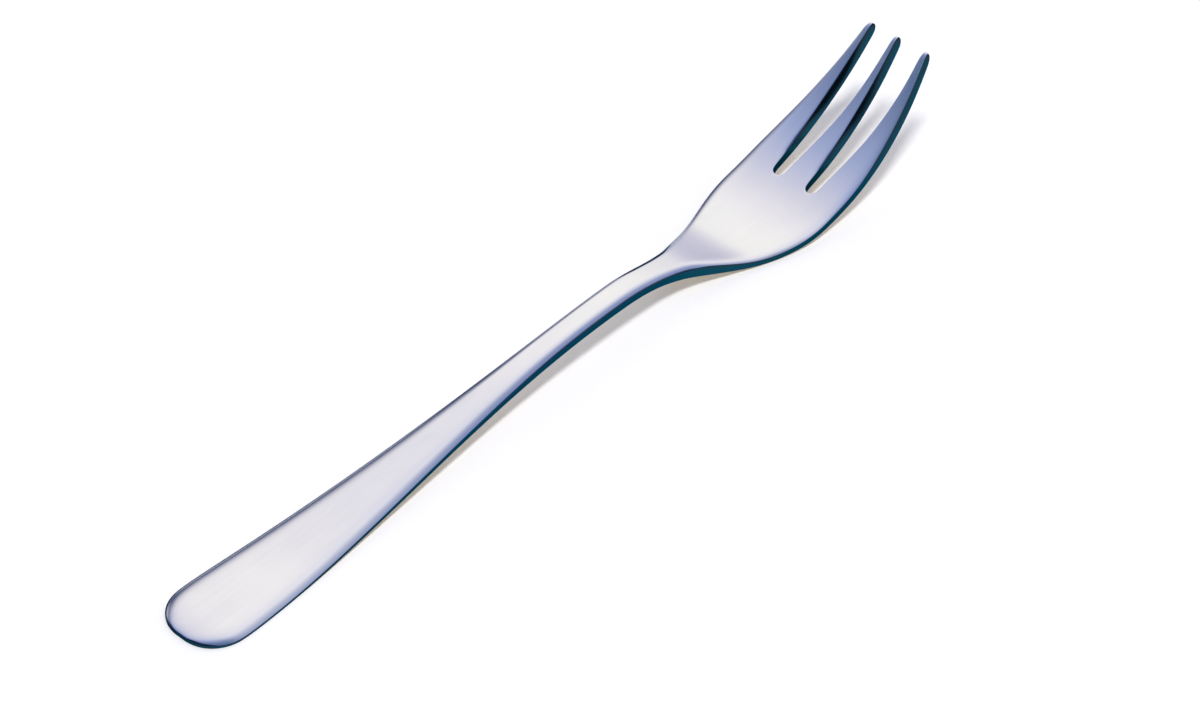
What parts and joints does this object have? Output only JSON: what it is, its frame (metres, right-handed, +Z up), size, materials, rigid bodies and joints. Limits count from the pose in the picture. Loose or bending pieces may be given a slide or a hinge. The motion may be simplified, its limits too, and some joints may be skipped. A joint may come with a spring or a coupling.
{
  "type": "dessert fork",
  "caption": "Slim steel dessert fork with a rounded tapering handle, narrow arched neck and dished head with upswept tines, lying face up.",
  "frame": {"origin": "on the table plane, under the middle of the fork's length", "axes": "+X along the fork from the handle's end towards the points of the tines, +Y towards the left tine, +Z up from the table, on the side of the dished face"},
  "size_m": [0.1597, 0.02, 0.0189],
  "materials": {
    "steel": "satin polish on the faces, mirror polish along the rounded edges"
  },
  "bodies": {
    "root": {"handle": "steel", "neck": "steel", "head": "steel", "left_tine": "steel", "middle_tine": "steel", "right_tine": "steel"}
  },
  "joints": []
}
